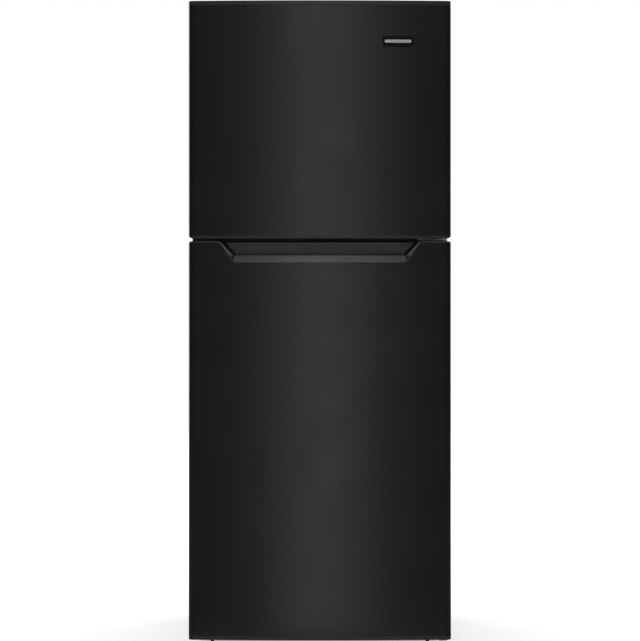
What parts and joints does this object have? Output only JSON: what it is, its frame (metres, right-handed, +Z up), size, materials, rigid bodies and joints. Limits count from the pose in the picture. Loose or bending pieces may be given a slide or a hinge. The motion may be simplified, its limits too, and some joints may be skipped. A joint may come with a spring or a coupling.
{
  "type": "top freezer refrigerator",
  "caption": "Black apartment-size top freezer refrigerator with two right-hinged crowned doors and a pocket handle in the top edge of the lower door.",
  "frame": {"origin": "on the floor, at the centre of the appliance seen from above", "axes": "+Z up; the doors face -Y; +X is to the right seen from the front"},
  "size_m": [0.61, 0.676, 1.521],
  "materials": {
    "door_black": "smooth semi-gloss enamel",
    "cabinet_black": "textured low-gloss enamel",
    "cap_black": "satin moulded",
    "badge": "polished",
    "zinc_steel": "galvanised",
    "chassis_steel": "dull",
    "hinge_steel": "zinc plated",
    "foam": "matte",
    "liner_white": "semi-gloss",
    "trim_white": "satin",
    "control_grey": "satin",
    "motor_grey": "satin",
    "lens": "frosted",
    "shelf_glass": "polished",
    "clear_plastic": "polished",
    "coated_wire": "gloss",
    "aluminium": "satin",
    "copper": "satin",
    "compressor_black": "gloss",
    "plastic_black": "satin",
    "rubber_black": "matte",
    "gasket": "matte",
    "bush_plastic": "satin"
  },
  "bodies": {
    "cabinet": {"cabinet_wrapper": "cabinet_black", "back_panel": "zinc_steel", "base_pan": "chassis_steel", "cabinet_foam": "foam", "freezer_liner": "liner_white", "fridge_liner": "liner_white", "mullion_rail": "cabinet_black", "evaporator_cover": "trim_white", "evaporator_coil": "aluminium", "condenser_tube": "copper", "fan_motor": "motor_grey", "defrost_heater": "chassis_steel", "drain_tube": "trim_white", "freezer_wire_shelf": "coated_wire", "air_duct_cover": "trim_white", "control_housing": "trim_white", "lamp_lens": "lens", "shelf_panes": "shelf_glass", "shelf_frames": "trim_white", "crisper_cover": "shelf_glass", "compressor": "compressor_black", "compressor_grommets": "rubber_black", "compressor_relay_cover": "plastic_black", "refrigerant_lines": "copper", "drip_pan": "plastic_black", "power_cord_gland": "rubber_black", "top_hinge": "hinge_steel", "top_hinge_cover": "plastic_black", "center_hinge": "hinge_steel", "bottom_hinge": "hinge_steel", "hinge_screws": "hinge_steel", "roller_axles": "hinge_steel"},
    "freezer_door": {"freezer_door_skin": "door_black", "freezer_door_top_cap": "cap_black", "freezer_door_bottom_cap": "cap_black", "freezer_door_foam": "foam", "freezer_door_liner": "liner_white", "freezer_door_gasket": "gasket", "freezer_door_bins": "clear_plastic", "freezer_door_bushes": "bush_plastic", "badge": "badge"},
    "fridge_door": {"fridge_door_skin": "door_black", "fridge_door_handle_cap": "cap_black", "fridge_door_bottom_cap": "cap_black", "fridge_door_foam": "foam", "fridge_door_liner": "liner_white", "fridge_door_gasket": "gasket", "fridge_door_bins": "clear_plastic", "fridge_door_gallon_bin": "clear_plastic", "fridge_door_bushes": "bush_plastic"},
    "fan_blade": {"fan_blade": "motor_grey"},
    "damper_flap": {"damper_flap": "trim_white"},
    "air_control_slider": {"air_control_slider": "control_grey"},
    "temperature_knob": {"temperature_knob": "control_grey"},
    "light_switch_plunger": {"light_switch_plunger": "trim_white"},
    "crisper_drawer": {"crisper_drawer": "clear_plastic"},
    "left_foot": {"left_foot": "plastic_black"},
    "right_foot": {"right_foot": "plastic_black"},
    "left_roller": {"left_roller": "plastic_black"},
    "right_roller": {"right_roller": "plastic_black"}
  },
  "joints": [
    {"name": "freezer_door_hinge", "type": "hinge", "parent": "cabinet", "child": "freezer_door", "pos_m": [0.288, -0.298, 1.245], "axis": [0, 0, 1], "range_deg": [0, 120]},
    {"name": "fridge_door_hinge", "type": "hinge", "parent": "cabinet", "child": "fridge_door", "pos_m": [0.288, -0.298, 0.5], "axis": [0, 0, 1], "range_deg": [0, 120]},
    {"name": "crisper_drawer_slide", "type": "slide", "parent": "cabinet", "child": "crisper_drawer", "axis": [0, -1, 0], "range_m": [0, 0.092]},
    {"name": "temperature_knob_turn", "type": "hinge", "parent": "cabinet", "child": "temperature_knob", "pos_m": [0.045, -0.125, 0.908], "axis": [0, 1, 0], "range_deg": [0, 270]},
    {"name": "air_control_slide", "type": "slide", "parent": "cabinet", "child": "air_control_slider", "axis": [1, 0, 0], "range_m": [0, 0.04]},
    {"name": "damper_flap_turn", "type": "hinge", "parent": "cabinet", "child": "damper_flap", "pos_m": [0, 0.225, 0.893], "axis": [1, 0, 0], "range_deg": [0, 60.5]},
    {"name": "light_switch_press", "type": "slide", "parent": "cabinet", "child": "light_switch_plunger", "axis": [0, 1, 0], "range_m": [0, 0.003], "stiffness_N_per_m": 150, "springref_m": -0.006},
    {"name": "evaporator_fan_spin", "type": "hinge", "parent": "cabinet", "child": "fan_blade", "pos_m": [0, 0.205, 1.372], "axis": [0, 1, 0], "continuous": true},
    {"name": "left_foot_adjust", "type": "slide", "parent": "cabinet", "child": "left_foot", "axis": [0, 0, 1], "range_m": [0, 0.01]},
    {"name": "right_foot_adjust", "type": "slide", "parent": "cabinet", "child": "right_foot", "axis": [0, 0, 1], "range_m": [0, 0.01]},
    {"name": "left_roller_spin", "type": "hinge", "parent": "cabinet", "child": "left_roller", "pos_m": [-0.255, 0.3, 0.016], "axis": [1, 0, 0], "continuous": true},
    {"name": "right_roller_spin", "type": "hinge", "parent": "cabinet", "child": "right_roller", "pos_m": [0.255, 0.3, 0.016], "axis": [1, 0, 0], "continuous": true}
  ],
  "couplings": [
    {"joint": "damper_flap_turn", "follows": "air_control_slide", "rad_per_m": 26.18}
  ]
}
